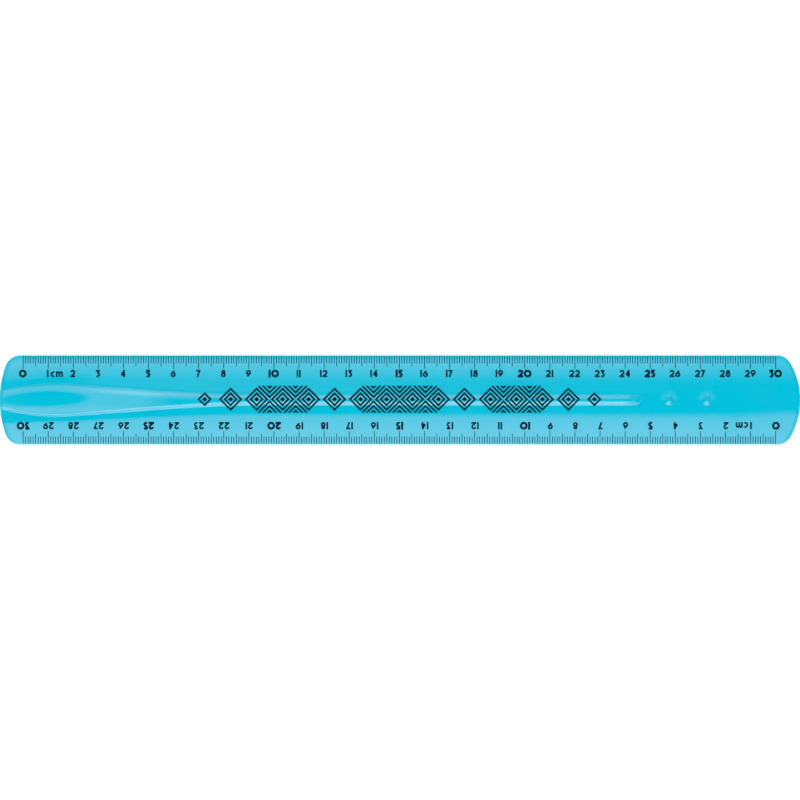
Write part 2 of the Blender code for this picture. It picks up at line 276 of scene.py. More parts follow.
# Strokes of the numbers and the unit, drawn with a broad pen in a box one high: a stroke is its
# start, its heading in degrees and its moves, each a straight (length) or a bend (radius,
# degrees turned to the left). The last number is the glyph's width. A stroke of one level or
# upright straight reaches half a pen's width further at both ends, which fills its corners.
GLYPHS = {
    "0": ([((1.0, 0.5), 90, [(0.5, 360)])], 1.0),
    "1": ([((0.0, 0.0), 90, [(1.0,)])], 0.0),
    "2": ([((0.005, 0.752), 80, [(0.3, -216.4), (0.70,)]), ((0.0, 0.0), 0, [(0.58,)])], 0.60),
    "3": ([((0.04, 1.0), 0, [(0.38,)]), ((0.42, 1.0), -122, [(0.50,)]),
           ((0.13, 0.56), 0, [(0.05,), (0.28, -220)])], 0.46),
    "4": ([((0.45, 1.0), -121.7, [(0.86,)]), ((0.13, 0.27), 0, [(0.41,)]),
           ((0.45, 0.0), 90, [(1.0,)])], 0.54),
    "5": ([((0.05, 1.0), 0, [(0.32,)]), ((0.05, 1.0), -91, [(0.50,)]),
           ((0.05, 0.52), 22, [(0.27, -244)])], 0.44),
    "6": ([((0.50, 1.0), -129, [(0.64,)]), ((0.62, 0.31), 90, [(0.31, 360)])], 0.62),
    "7": ([((0.0, 1.0), 0, [(0.46,)]), ((0.46, 1.0), -110, [(1.20,)])], 0.46),
    "8": ([((0.56, 0.28), 90, [(0.28, 360)]), ((0.49, 0.79), 90, [(0.21, 360)])], 0.56),
    "9": ([((0.12, 0.0), 51, [(0.64,)]), ((0.0, 0.69), -90, [(0.31, 360)])], 0.62),
    "c": ([((0.735, 0.941), 152, [(0.5, 236)])], 0.73),
    "m": ([((0.0, 0.0), 90, [(1.0,)]), ((0.0, 0.67), 90, [(0.33, -180), (0.85,)]),
           ((0.66, 0.67), 90, [(0.33, -180), (0.85,)])], 1.32),
}


# Small tools for working as by hand


def clear_selection():
    """Deselect every object."""
    bpy.ops.object.select_all(action="DESELECT")


def pick(*pieces):
    """Select some objects only, and make the first of them active."""
    clear_selection()
    for piece in pieces:
        piece.select_set(True)
    bpy.context.view_layer.objects.active = pieces[0]


@contextlib.contextmanager
def editing(piece):
    """Edit mode on one object, with all of its mesh selected."""
    pick(piece)
    bpy.ops.object.mode_set(mode="EDIT")
    bpy.ops.mesh.select_all(action="SELECT")
    try:
        yield
    finally:
        bpy.ops.object.mode_set(mode="OBJECT")


def points_of(piece):
    """The places of a mesh's vertices, as rows of x, y and z."""
    places = np.empty(len(piece.data.vertices) * 3)
    piece.data.vertices.foreach_get("co", places)
    return places.reshape(-1, 3)


def place_points(piece, places):
    """Put a mesh's vertices where the rows say."""
    piece.data.vertices.foreach_set("co", places.ravel())
    piece.data.update()


def joined(name, pieces):
    """Join objects into one, under one name."""
    pick(*pieces)
    if len(pieces) > 1:
        bpy.ops.object.join()
    whole = bpy.context.view_layer.objects.active
    whole.name = name
    whole.data.name = name
    return whole


def copied(piece, matrix):
    """A copy of an object, with a mesh of its own moved by the matrix."""
    twin = piece.copy()
    twin.data = piece.data.copy()
    twin.data.transform(matrix)
    bpy.context.collection.objects.link(twin)
    return twin


def repeated(piece, count, step):
    """Repeat an object's mesh along the blade."""
    pick(piece)
    row = piece.modifiers.new("row", "ARRAY")
    row.count = count
    row.use_relative_offset = False
    row.use_constant_offset = True
    row.constant_offset_displace = (step, 0.0, 0.0)
    bpy.ops.object.modifier_apply(modifier=row.name)


# Hinges, and the centimetres that shell and print are divided into


def hinges_in_order():
    """Each hinge's place along the blade with the bodies on its left and right, left to right."""
    middles = {}
    for body, nodes in BODY_NODES.items():
        low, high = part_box(nodes[0])
        middles[body] = (low.x + high.x) / 2
    rows = []
    for joint in frame["joints"]:
        left, right = sorted((joint["parent"], joint["child"]), key=middles.get)
        rows.append((joint["pos_m"][0], left, right))
    return sorted(rows)


HINGES = hinges_in_order()
TWIST_HINGES = HINGES[0::2]
BEND_HINGES = HINGES[1::2]
SEAMS = [round(place, 7) for place, left, right in BEND_HINGES]
HALF_PITCH = (HINGES[1][0] - HINGES[0][0]) / 2
ZERO_MARK_X = HINGES[0][0] - 2 * HALF_PITCH
FIRST_STATION_X = round(HINGES[0][0] - HALF_PITCH, 7)
LAST_STATION_X = round(HINGES[-1][0] + HALF_PITCH, 7)


def hang(piece, index):
    """Apply the piece's placing to its mesh; the bodies and ends of the twist hinge in its middle
    are found but not used.
    """
    place, left, right = TWIST_HINGES[index]
    middle_z = (LOW_CORNER.z + HIGH_CORNER.z) / 2
    bodies = [left, right]
    ends = [(place - 2 * HALF_PITCH, 0.0, middle_z), (place + 2 * HALF_PITCH, 0.0, middle_z)]
    # Near the left tip, the turn is counted from the right
    if index < COUNTED_FROM_RIGHT:
        bodies.reverse()
        ends.reverse()
    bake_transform(piece)


# Shape of the blade


def ramp(place, start, length):
    """Straight rise from zero at the start to one a length further on."""
    return np.clip((place - start) / length, 0.0, 1.0)


def fade(place, start, length):
    """Smooth fall from one at the start to zero a length further on."""
    way = ramp(place, start, length)
    return (1.0 - way) ** 2 * (1.0 + 2.0 * way)


def rise(place, start, length):
    """Smooth rise from zero at the start to one a length further on."""
    return 1.0 - fade(place, start, length)


def hump(place, middle, width):
    """Bell-shaped hump, one at its middle."""
    return np.exp(-((place - middle) / width) ** 2)


def along_blade(x):
    """How far along the blade places lie, from zero at the left tip to one at the right."""
    return (x - LOW_CORNER.x) / (HIGH_CORNER.x - LOW_CORNER.x)


def out_to_edge(y, start):
    """How far out places lie, from zero at a line beside the body to one at the long edge."""
    return ramp(np.abs(y), start, HIGH_CORNER.y - start)


def spine_half_width(x, shape):
    """Half the width of the raised spine and pad at places along the blade."""
    widest_x = LOW_CORNER.x + shape.pad_widest
    pad_end_x = LOW_CORNER.x + shape.pad_length
    swell = np.sin(ramp(x, LOW_CORNER.x, shape.pad_widest) * math.pi / 2)
    growing = shape.pad_at_left_tip + (shape.pad_width - shape.pad_at_left_tip) * swell
    way = ramp(x, widest_x, pad_end_x - widest_x)
    left_over = (1.0 - way ** PAD_ROUNDNESS) ** PAD_TAPER
    shrinking = shape.spine_width + (shape.pad_width - shape.spine_width) * left_over
    return np.where(x < widest_x, growing, shrinking) / 2


def pad_share(x, shape):
    """How much of the pad the raised form is, from zero on the rib to one where it is widest."""
    extra = 2 * spine_half_width(x, shape) - shape.spine_width
    return extra / (shape.pad_width - shape.spine_width)


def body_half_width(x, shape):
    """Half the width of the thicker body, which follows the pad and narrows at the right tip."""
    tip_share = fade(HIGH_CORNER.x - x, 0.0, shape.right_taper)
    wider = (shape.body_at_pad - shape.body_half_width) * pad_share(x, shape)
    narrower = (shape.body_half_width - shape.body_at_right_tip) * tip_share
    return shape.body_half_width + wider - narrower


def shoulder_width(x, shape):
    """Width of the sloping side of the raised form, which is narrower along the pad."""
    at_rib = (shape.spine_width - shape.crest_width) / 2
    return at_rib + (shape.pad_shoulder - at_rib) * pad_share(x, shape)


def from_spine(x, y, shape):
    """Distance of places from the line that the rib and pad stand over."""
    past_end = np.maximum(x - rib_end_x(shape), 0.0) * shape.end_stretch
    return np.hypot(past_end, y)


def rib_end_x(shape):
    """Centre of the rib's round right end."""
    scale_end_x = ZERO_MARK_X + (len(HINGES) + 1) * 2 * HALF_PITCH
    return scale_end_x - shape.spine_end_margin - shape.spine_width / 2


def stud_places(shape):
    """Centres of the round studs."""
    first = rib_end_x(shape) + shape.spine_width / 2 + shape.stud_from_spine
    return [first + shape.stud_spacing * number for number in range(shape.stud_count)]


def dish_end_x(shape):
    """Right end of the thumb dish."""
    return LOW_CORNER.x + shape.dish_from_tip + shape.dish_length


def inside_dish(x, y, shape):
    """Distance of places from the oval outline of the thumb dish, above zero inside it."""
    half_length = shape.dish_length / 2
    half_width = shape.dish_width / 2
    along = (x - dish_end_x(shape) + half_length) / half_length
    across = y / half_width
    reach = np.maximum(np.hypot(along, across), 0.001)
    slope = np.hypot(along / half_length, across / half_width) / reach
    return (1.0 - reach) / np.maximum(slope, 1.0 / half_length)


def bevel_share(x, y, shape):
    """How far out on a bevel places lie, from zero at its crease to one at the long edge."""
    return out_to_edge(y, body_half_width(x, shape) + shape.crease_flank)


def body_height(x, y, shape):
    """Height of the body and of the bevels beside it."""
    flank = ramp(np.abs(y), body_half_width(x, shape), shape.crease_flank)
    down_flank = (shape.body_thickness - shape.crease_thickness) * flank
    down_bevel = (shape.crease_thickness - shape.edge_thickness) * bevel_share(x, y, shape)
    return shape.body_thickness - down_flank - down_bevel


def top_height(x, y, shape):
    """Height of the blade's top before its rim is rounded."""
    width = shoulder_width(x, shape)
    root = spine_half_width(x, shape)
    reach = from_spine(x, y, shape)
    for stud_x in stud_places(shape):
        reach = np.minimum(reach, np.hypot(x - stud_x, y))
    away = reach - root + width
    crown = shape.pad_crown * pad_share(x, shape)
    fall = crown * ramp(np.abs(y), 0.0, root) ** 4
    fall = fall + (shape.spine_height - crown) * rise(away, 0.0, width)
    fall = fall + shape.dish_depth * rise(inside_dish(x, y, shape), 0.0, shape.dish_flank)
    return np.where(away < width, HIGH_CORNER.z - fall, body_height(x, y, shape))


def end_shapes(shape):
    """Tip, direction inwards and crown radius of both ends."""
    return ((LOW_CORNER.x, 1.0, shape.left_end_radius),
            (HIGH_CORNER.x, -1.0, shape.right_end_radius))


def corner_centre(radius, shape):
    """Centre of an end's corner, inwards from the tip and across, and the angle it starts at."""
    across = HIGH_CORNER.y - shape.corner_radius
    reach = radius - shape.corner_radius
    lean = math.asin(across / reach)
    return radius - reach * math.cos(lean), across, lean


def outline_x(y, tip_x, inward, radius, shape):
    """Where an end's outline lies along the blade at places across it."""
    corner_x, corner_y, lean = corner_centre(radius, shape)
    across = np.abs(y)
    crown = radius - np.sqrt(np.maximum(radius ** 2 - across ** 2, 0.0))
    bow = np.sqrt(np.maximum(shape.corner_radius ** 2 - (across - corner_y) ** 2, 0.0))
    return tip_x + inward * np.where(across > radius * math.sin(lean), corner_x - bow, crown)


def from_outline(x, y, shape):
    """Distance of places on the blade from its outline."""
    across = np.abs(y)
    away = HIGH_CORNER.y - across
    for tip_x, inward, radius in end_shapes(shape):
        corner_x, corner_y, lean = corner_centre(radius, shape)
        along = (x - tip_x) * inward
        away = np.minimum(away, radius - np.hypot(np.minimum(along, radius) - radius, across))
        in_corner = np.arctan2(across - corner_y, corner_x - along) > lean
        in_corner &= (across > corner_y) & (along < corner_x)
        corner = shape.corner_radius - np.hypot(corner_x - along, across - corner_y)
        away = np.where(in_corner, corner, away)
    return np.maximum(away, 0.0)


def rim_drop(x, y, shape):
    """How far the rounded rim falls below the surface, or rises above the underside."""
    radius = shape.rim_radius
    inside = np.minimum(from_outline(x, y, shape), radius)
    return radius - np.sqrt(radius ** 2 - (radius - inside) ** 2)


def from_rim(x, y, shape):
    """Distance of places from the rim: its far edge and both tips, but not its near edge."""
    away = np.where(y > 0.0, from_outline(x, y, shape), np.inf)
    for tip_x, inward, radius in end_shapes(shape):
        away = np.minimum(away, (x - outline_x(y, tip_x, inward, radius, shape)) * inward)
    return away


# Paleness of the plastic and its painted light: bare numbers here are shares of a length or a
# paleness


def dish_core(x, y, shape):
    """The oval in the middle of the thumb dish that keeps the deep colour, a painted dark
    reflection: one inside it and zero outside.
    """
    inward = (x - LOW_CORNER.x) / shape.dish_length
    middle_y = 0.06 - 0.07 * fade(inward, 0.0, 0.55)
    across = (y / shape.dish_width - middle_y) / 0.27
    return fade(np.hypot(across, (inward - 0.393) / 0.406), 0.78, 0.38)


def near_bevel_paleness(x, y, shape, finish):
    """Paleness of the near bevel, paler where the plastic is thin and with a painted reflection,
    which begins further out beside the pad's tip.
    """
    along = along_blade(x)
    crease = body_half_width(x, shape)
    softness = crease * (0.05 + 0.42 * along)
    by_tip = shape.body_at_pad * (1.0 + 0.1 * fade(x, LOW_CORNER.x, shape.pad_widest))
    start = np.where(x < LOW_CORNER.x + shape.pad_widest, by_tip, crease) - 0.55 * softness
    top = finish.near_paleness * (1.0 - 0.13 * ramp(along, 0.85, 0.10))
    climb = 0.66 + 0.45 * np.minimum(out_to_edge(y, crease), 0.75)
    return top * climb * rise(np.abs(y), start, 1.7 * softness)


def far_bevel_paleness(x, y, shape, finish):
    """Painted reflection on the body behind the spine, and paleness of the far bevel, thin plastic
    with painted reflection, which climbs to its marks.
    """
    along = along_blade(x)
    # Painted reflection on the far strip of body behind the spine
    behind = rise(np.abs(y), spine_half_width(x, shape), 0.25 * shape.spine_width)
    behind *= rise(along, 0.08, 0.06) * (1.0 - 0.75 * ramp(along, 0.30, 0.47))
    behind *= finish.body_paleness * (1.0 - ramp(along, 0.84, 0.09))
    past_tip = rise(along, 0.0, 0.25)
    outward = out_to_edge(y, body_half_width(x, shape))
    climb = ramp(outward, 0.10 * past_tip, 0.60) ** (0.8 + 0.6 * past_tip)
    top = finish.far_paleness * (1.0 - 0.4 * ramp(along, 0.85, 0.12))
    return behind * (1.0 - climb) + top * climb


def pad_paleness(x, y, shape, finish):
    """Painted reflection on the pad and its dish, and painted highlights along the sloping sides of
    pad and rib.
    """
    along = along_blade(x)
    width = shoulder_width(x, shape)
    flat = spine_half_width(x, shape) - width
    down_side = (from_spine(x, y, shape) - flat) / width
    # Painted reflection on the pad's crown and the dish's slopes, none in the dish's dark core
    crown = finish.pad_paleness * fade(along, 0.17, 0.055)
    in_dish = rise(inside_dish(x, y, shape), 0.0, shape.dish_flank) * fade(along, 0.11, 0.03)
    pad = crown + (finish.dish_paleness - crown) * in_dish
    look = pad * fade(1.8 * down_side, 0.0, 1.0) * (1.0 - dish_core(x, y, shape))
    # Painted highlight lines along the middle of each shoulder
    far_side = np.clip(y / shape.spine_width * 5, -1.0, 1.0)
    near_share = (1.0 - far_side) / 2
    line = hump(down_side, 0.44, 0.34) * (1.0 - pad_share(x, shape) * (0.92 + 0.08 * far_side))
    line *= fade(x, rib_end_x(shape) - 0.8 * shape.spine_width, shape.spine_width)
    near_highlight = finish.near_line_paleness * near_share
    far_highlight = finish.far_line_paleness * (1.0 - near_share) * (1.0 - 0.35 * along)
    # Painted highlight bands along the pad's far and near sides
    far_highlight_band = hump(y, 0.87 * flat, 0.2 * shape.spine_width)
    far_highlight_band *= finish.crown_paleness * fade(np.abs(along - 0.18), 0.0, 0.12)
    near_highlight_band = hump(y, -0.8 * flat, 0.25 * shape.spine_width)
    near_highlight_band *= finish.thumb_paleness * rise(along, 0.0, 0.04) * fade(along, 0.09, 0.10)
    return look + line * (near_highlight + far_highlight) + far_highlight_band + near_highlight_band


def halo_paleness(x, y, shape, finish):
    """Painted highlights: a dot on each stud's near side and a ring behind it."""
    look = 0.0
    across = y / shape.spine_width
    behind = rise(y, -0.5 * shape.crease_flank, shape.crease_flank)
    for stud_x in stud_places(shape):
        along = (x - stud_x) / shape.spine_width
        reach = np.hypot(along, across)
        ring = rise(reach, 0.20, 0.17) * fade(reach, 0.45, 0.5) * behind
        highlight_dot = hump(np.hypot(along / 0.17, (across + 0.26) / 0.12), 0.0, 1.0)
        look = look + finish.halo_paleness * ring + finish.stud_paleness * highlight_dot
    return look


def paleness(x, y, shape, finish):
    """How pale the plastic looks: deep over the body and paler on the thin bevels, with painted
    highlights, reflections and a painted dark rim line.
    """
    near = near_bevel_paleness(x, y, shape, finish)
    far = far_bevel_paleness(x, y, shape, finish)
    look = np.where(y < 0.0, near, far) + pad_paleness(x, y, shape, finish)
    look = look + halo_paleness(x, y, shape, finish)
    # Painted highlight along the near edge
    look = look + finish.edge_paleness * fade(y, LOW_CORNER.y, 3 * shape.rim_radius)
    # Painted dark line along the far rim and the tips
    return look * (1.0 - finish.rim_clearness * fade(from_rim(x, y, shape), 0.0, finish.rim_width))


# The blade's mesh: rows run along the blade, and stations cross it


def steps_between(start, end, count):
    """Evenly spaced places after the start, up to the end."""
    return [start + (end - start) * step / count for step in range(1, count + 1)]


def half_rows(x, shape):
    """Places across the blade of the rows beside its centre line, from the centre out."""
    root = spine_half_width(x, shape)
    flat = root - shoulder_width(x, shape)
    body_y = body_half_width(x, shape)
    crease_y = body_y + shape.crease_flank
    corner_y = HIGH_CORNER.y - shape.corner_radius / 2
    rows = steps_between(0.0, flat, FLAT_ROWS) + steps_between(flat, root, SHOULDER_ROWS)
    rows += steps_between(root, body_y, BODY_ROWS) + steps_between(body_y, crease_y, 2)
    rows += steps_between(crease_y, corner_y, BEVEL_ROWS)
    from_edge = [shape.corner_radius * (1 - math.sin(math.radians(angle)))
                 for angle in CORNER_ANGLES]
    from_edge += [shape.rim_radius * rim_share for rim_share in RIM_SHARES]
    rows += [x * 0.0 + HIGH_CORNER.y - away for away in from_edge]
    return np.sort(np.array(rows), axis=0)


def all_rows(x, shape):
    """Places of every row, from the near edge to the far edge, at each station's places."""
    half = half_rows(x, shape)
    return np.vstack([-half[::-1], x[None, :] * 0.0, half])


def straight_stations(shape):
    """Stations between the two end zones, closer together over the rib's end and the studs."""
    reach = shape.spine_width
    fine = [dish_end_x(shape), rib_end_x(shape) + shape.spine_width / 2] + stud_places(shape)
    places = [FIRST_STATION_X]
    for place, left, right in HINGES:
        start, end = place - HALF_PITCH, place + HALF_PITCH
        close = any(start < middle + reach and end > middle - reach for middle in fine)
        count = STATIONS_OVER_STUD if close else STATIONS_PER_PITCH
        places += steps_between(start, end, count)
    return np.array(places)


def tip_stations(tip, limit_x, shape):
    """Rows of places in an end zone: its stations turn from the outline into a straight line."""
    tip_x, inward, radius = tip
    shares = np.linspace(0.0, 1.0, STATIONS_OVER_TIP + 1)[:-1] ** TIP_CROWDING
    rows = len(all_rows(np.array([limit_x]), shape))
    x = np.full((rows, len(shares)), limit_x)
    for repeat in range(TIP_PASSES):
        y = np.array([all_rows(x[row], shape)[row] for row in range(rows)])
        start = outline_x(y, tip_x, inward, radius, shape)
        x = start + (limit_x - start) * shares[None, :]
    return x, y


def blade_places(shape):
    """Places in plan of all rows and stations."""
    straight = straight_stations(shape)
    middle_y = all_rows(straight, shape)
    middle_x = np.tile(straight, (len(middle_y), 1))
    left_tip, right_tip = end_shapes(shape)
    left_x, left_y = tip_stations(left_tip, FIRST_STATION_X, shape)
    right_x, right_y = tip_stations(right_tip, LAST_STATION_X, shape)
    x = np.hstack([left_x, middle_x, right_x[:, ::-1]])
    y = np.hstack([left_y, middle_y, right_y[:, ::-1]])
    return x, y


def mould_blade(shape, finish):
    """One closed shell: a grid shaped in rows and stations, given an underside and a wall."""
    x, y = blade_places(shape)
    rows, stations = x.shape
    clear_selection()
    bpy.ops.mesh.primitive_grid_add(x_subdivisions=stations - 1, y_subdivisions=rows - 1, size=1)
    blade = bpy.context.active_object
    blade.name = "blade"
    top = np.column_stack([x.ravel(), y.ravel(), np.zeros(x.size)])
    drop = rim_drop(top[:, 0], top[:, 1], shape)
    top[:, 2] = top_height(top[:, 0], top[:, 1], shape) - drop
    place_points(blade, top)
    wall = blade.modifiers.new("underside", "SOLIDIFY")
    wall.thickness = shape.rim_radius
    wall.offset = -1.0
    pick(blade)
    bpy.ops.object.modifier_apply(modifier=wall.name)
    under = top.copy()
    under[:, 2] = drop
    place_points(blade, np.vstack([top, under]))
    # Paleness: thin-plastic tone together with painted highlights, reflections and shade
    look = paleness(top[:, 0], top[:, 1], shape, finish)
    store_number(blade, "paleness", np.tile(look, 2))
    return blade


def store_number(piece, name, values):
    """Keep one number for each vertex, which bending the piece doesn't change."""
    kept = piece.data.attributes.new(name, "FLOAT", "POINT")
    kept.data.foreach_set("value", values.astype(np.float32))


def store_rest_place(piece):
    """Keep each vertex's place at rest, so that a pattern stays put when the piece bends."""
    kept = piece.data.attributes.new("rest_place", "FLOAT_VECTOR", "POINT")
    kept.data.foreach_set("vector", points_of(piece).astype(np.float32).ravel())


def divided_shell(blade):
    """Split the shell along its stations at the seams, and sort its parts from left to right."""
    places = points_of(blade)
    ends = np.empty(len(blade.data.edges) * 2, int)
    blade.data.edges.foreach_get("vertices", ends)
    ends = ends.reshape(-1, 2)
    on_seam = np.isin(np.round(places[:, 0], 6), np.round(SEAMS, 6))
    chosen = on_seam[ends[:, 0]] & on_seam[ends[:, 1]]
    chosen &= np.abs(places[ends[:, 0], 0] - places[ends[:, 1], 0]) < SEAM_TOLERANCE
    with editing(blade):
        bpy.ops.mesh.select_mode(type="EDGE")
        bpy.ops.mesh.select_all(action="DESELECT")
        bpy.ops.object.mode_set(mode="OBJECT")
        blade.data.edges.foreach_set("select", chosen)
        bpy.ops.object.mode_set(mode="EDIT")
        bpy.ops.mesh.edge_split(type="EDGE")
        bpy.ops.mesh.separate(type="LOOSE")
    parts = sorted(bpy.context.selected_objects, key=lambda part: points_of(part)[:, 0].min())
    if len(parts) != len(TWIST_HINGES):
        raise RuntimeError(f"the shell has {len(parts)} parts and not {len(TWIST_HINGES)}")
    return parts


# Printing


def draw_glyph(sign, height, pen):
    """Draw one sign flat on the ground. Each stroke is a short edge, as wide as the pen, that
    is extruded along its straights and spun round its bends."""
    strokes, width = GLYPHS[sign]
    size = height - pen
    mesh = bpy.data.meshes.new(f"sign_{sign}")
    glyph = bpy.data.objects.new(mesh.name, mesh)
    bpy.context.collection.objects.link(glyph)
    with editing(glyph):
        for (x, y), heading, moves in strokes:
            lengthened = heading % 90 == 0 and len(moves) == 1 and len(moves[0]) == 1
            end = pen / 2 if lengthened else 0.0
            heading = math.radians(heading)
            x = x * size - math.cos(heading) * end
            y = y * size - math.sin(heading) * end
            across = (-math.sin(heading) * pen / 2, math.cos(heading) * pen / 2)
            start_pen((x - across[0], y - across[1]), (x + across[0], y + across[1]))
            for move in moves:
                if len(move) == 1:
                    reach = move[0] * size + 2 * end
                    step = (math.cos(heading) * reach, math.sin(heading) * reach)
                    bpy.ops.mesh.extrude_region_move(
                        TRANSFORM_OT_translate={"value": (*step, 0.0)})
                    x, y = x + step[0], y + step[1]
                    continue
                radius, turn = move[0] * size, math.radians(move[1])
                left = math.copysign(radius, turn)
                centre = (x - math.sin(heading) * left, y + math.cos(heading) * left)
                steps = max(3, round(abs(move[1]) / 360 * TURN_STEPS))
                bpy.ops.mesh.spin(steps=steps, angle=-turn, center=(*centre, 0.0),
                                  axis=(0.0, 0.0, 1.0))
                heading += turn
                x = centre[0] + math.sin(heading) * left
                y = centre[1] - math.cos(heading) * left
        finish_flat_drawing()
    return glyph, width * size + pen


def start_pen(low, high):
    """Put a short edge on the ground, and leave it as all that is selected."""
    bpy.ops.mesh.select_all(action="DESELECT")
    mesh = bpy.context.edit_object.data
    drawing = bmesh.from_edit_mesh(mesh)
    ends = [drawing.verts.new((*place, 0.0)) for place in (low, high)]
    drawing.edges.new(ends).select_set(True)
    bmesh.update_edit_mesh(mesh)


def finish_flat_drawing():
    """Merge points that meet, and let every face of the drawing look up."""
    bpy.ops.mesh.select_all(action="SELECT")
    bpy.ops.mesh.remove_doubles(threshold=MERGE_DISTANCE)
    mesh = bpy.context.edit_object.data
    drawing = bmesh.from_edit_mesh(mesh)
    for face in drawing.faces:
        face.normal_update()
        if face.normal.z < 0.0:
            face.normal_flip()
    bmesh.update_edit_mesh(mesh)


def write(text, x, y, signs, gap):
    """Copies of the signs of a text, side by side and each with a gap, centred on a place."""
    left = x - sum(signs[sign][1] for sign in text) / 2 - gap * len(text) / 2
    copies = []
    for sign in text:
        glyph, width, pen, height = signs[sign]
        place = Matrix.Translation((left + pen / 2, y - height / 2 + pen / 2, 0.0))
        copies.append(copied(glyph, place))
        left += width + gap
    return copies, left


def turned_about(piece):
    """A copy turned half round about the scale's middle, for the edge that reads the other way."""
    middle_x = ZERO_MARK_X + HALF_PITCH * (len(HINGES) + 1)
    turn = Matrix.Translation((middle_x, 0.0, 0.0)) @ Matrix.Rotation(math.pi, 4, "Z")
    return copied(piece, turn @ Matrix.Translation((-middle_x, 0.0, 0.0)))


def one_mark(x, low_y, high_y, width):
    """One printed line across the bevel."""
    clear_selection()
    bpy.ops.mesh.primitive_plane_add(size=1, location=(0.0, 0.0, 0.0))
    mark = bpy.context.active_object
    with editing(mark):
        bpy.ops.transform.resize(value=(width, high_y - low_y, 1.0),
                                 center_override=(0.0, 0.0, 0.0))
        bpy.ops.transform.translate(value=(x, (low_y + high_y) / 2, 0.0))
    return mark


def diamond(x, outer, inner):
    """One diamond on the ground: a ring, or a solid one where there is no room for a hole."""
    clear_selection()
    fill = "NGON" if inner <= 0.0 else "NOTHING"
    bpy.ops.mesh.primitive_circle_add(vertices=4, radius=outer, fill_type=fill,
                                      location=(0.0, 0.0, 0.0))
    piece = bpy.context.active_object
    with editing(piece):
        if inner > 0.0:
            bpy.ops.mesh.extrude_region_move()
            bpy.ops.transform.resize(value=(inner / outer, inner / outer, 1.0),
                                     center_override=(0.0, 0.0, 0.0))
        bpy.ops.mesh.select_all(action="SELECT")
        bpy.ops.transform.translate(value=(x, 0.0, 0.0))
        finish_flat_drawing()
    return piece


def trim_cell(cell, x, point, open_left, open_right, band):
    """Cut a filled cell to its box, and to a point on a side where no filled cell follows."""
    half_x = band.cell_length / 2
    half_y = band.height / 2
    sides = [((0.0, half_y, 0.0), (0.0, 1.0, 0.0)), ((0.0, -half_y, 0.0), (0.0, -1.0, 0.0))]
    for side, is_open in ((-1.0, open_left), (1.0, open_right)):
        if is_open:
            sides.append(((x + side * half_x, 0.0, 0.0), (side, 0.0, 0.0)))
        else:
            tip = (x + side * point, 0.0, 0.0)
            sides += [(tip, (side, 1.0, 0.0)), (tip, (side, -1.0, 0.0))]
    with editing(cell):
        for place, outward in sides:
            bpy.ops.mesh.select_all(action="SELECT")
            bpy.ops.mesh.bisect(plane_co=place, plane_no=outward, clear_outer=True)


def laid_on_blade(print_piece, shape, print_shape):
    """Lift a flat print onto the blade's top."""
    places = points_of(print_piece)
    x, y = places[:, 0], places[:, 1]
    places[:, 2] = top_height(x, y, shape) - rim_drop(x, y, shape) + print_shape.film_lift
    place_points(print_piece, places)


def divided_print(whole):
    """Cut a print at the seams, and separate it into one part for each centimetre."""
    with editing(whole):
        for seam in SEAMS:
            bpy.ops.mesh.select_all(action="SELECT")
            bpy.ops.mesh.bisect(plane_co=(seam, 0.0, 0.0), plane_no=(1.0, 0.0, 0.0))
    parts = []
    for seam in SEAMS:
        middles = np.empty(len(whole.data.polygons) * 3)
        whole.data.polygons.foreach_get("center", middles)
        with editing(whole):
            bpy.ops.mesh.select_mode(type="FACE")
            bpy.ops.mesh.select_all(action="DESELECT")
            bpy.ops.object.mode_set(mode="OBJECT")
            whole.data.polygons.foreach_set("select", middles.reshape(-1, 3)[:, 0] < seam)
            bpy.ops.object.mode_set(mode="EDIT")
            bpy.ops.mesh.separate(type="SELECTED")
        parts += [piece for piece in bpy.context.selected_objects if piece != whole]
    return parts + [whole]


# Materials


def set_inputs(node, inputs):
    """Give a node's inputs their values, or wire them to another node's socket."""
    for socket, value in inputs.items():
        if isinstance(value, bpy.types.NodeSocket):
            node.id_data.links.new(value, node.inputs[socket])
        else:
            node.inputs[socket].default_value = value


def node_adder(tree):
    """A function that adds a node to the tree, with its inputs and settings."""
    def add(kind, inputs=(), **settings):
        node = tree.nodes.new(f"ShaderNode{kind}")
        for setting, value in settings.items():
            setattr(node, setting, value)
        set_inputs(node, dict(inputs))
        return node
    return add


def new_material(name):
    """A material, its shader, and a function that adds nodes to it."""
    material = bpy.data.materials.new(name)
    material.use_nodes = True
    tree = material.node_tree
    return material, tree.nodes["Principled BSDF"], node_adder(tree)


def rest_noise(add, scale, detail):
    """Noise laid on the places at rest."""
    place = add("Attribute", attribute_name="rest_place").outputs["Vector"]
    return add("TexNoise", {"Vector": place, "Scale": scale, "Detail": detail}).outputs["Fac"]


